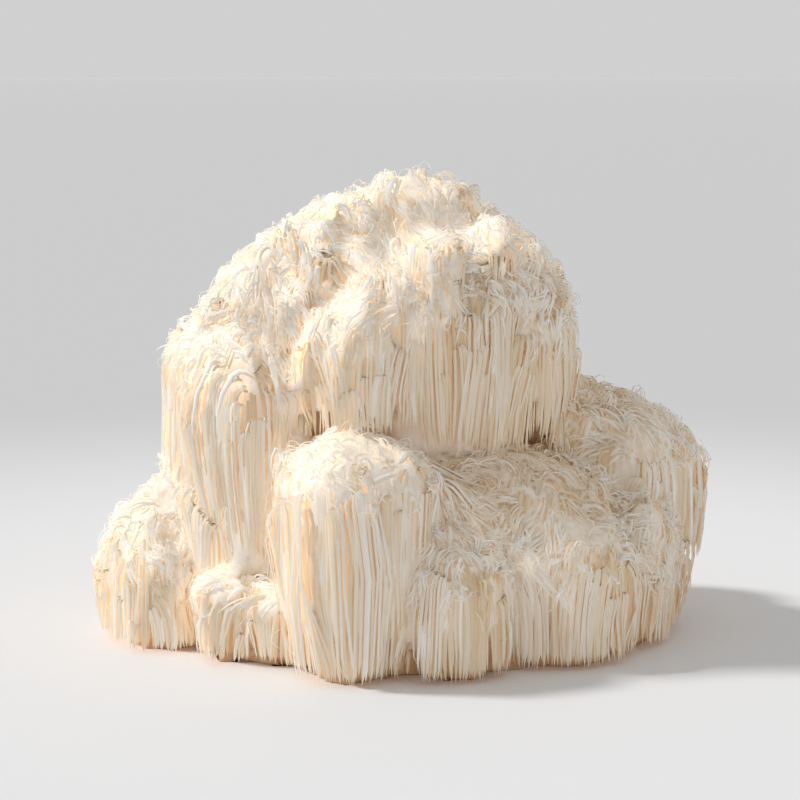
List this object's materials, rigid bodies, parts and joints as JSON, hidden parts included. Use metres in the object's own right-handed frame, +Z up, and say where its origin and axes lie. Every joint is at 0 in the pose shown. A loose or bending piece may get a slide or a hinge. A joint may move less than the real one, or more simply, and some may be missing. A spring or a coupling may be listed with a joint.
{
  "type": "lions mane mushroom",
  "caption": "Picked lion's mane mushroom: a lumpy mound of curly tufts with curtains of long hanging spines, standing on its flat cut.",
  "frame": {"origin": "on the flat cut that the mushroom stands on, under the middle of the body", "axes": "+Z up, +X along the widest extent, the most looked at side faces -Y"},
  "size_m": [0.1922, 0.16, 0.1454],
  "materials": {
    "flesh": "matte"
  },
  "bodies": {
    "root": {"fruiting_body": "flesh"}
  },
  "joints": []
}
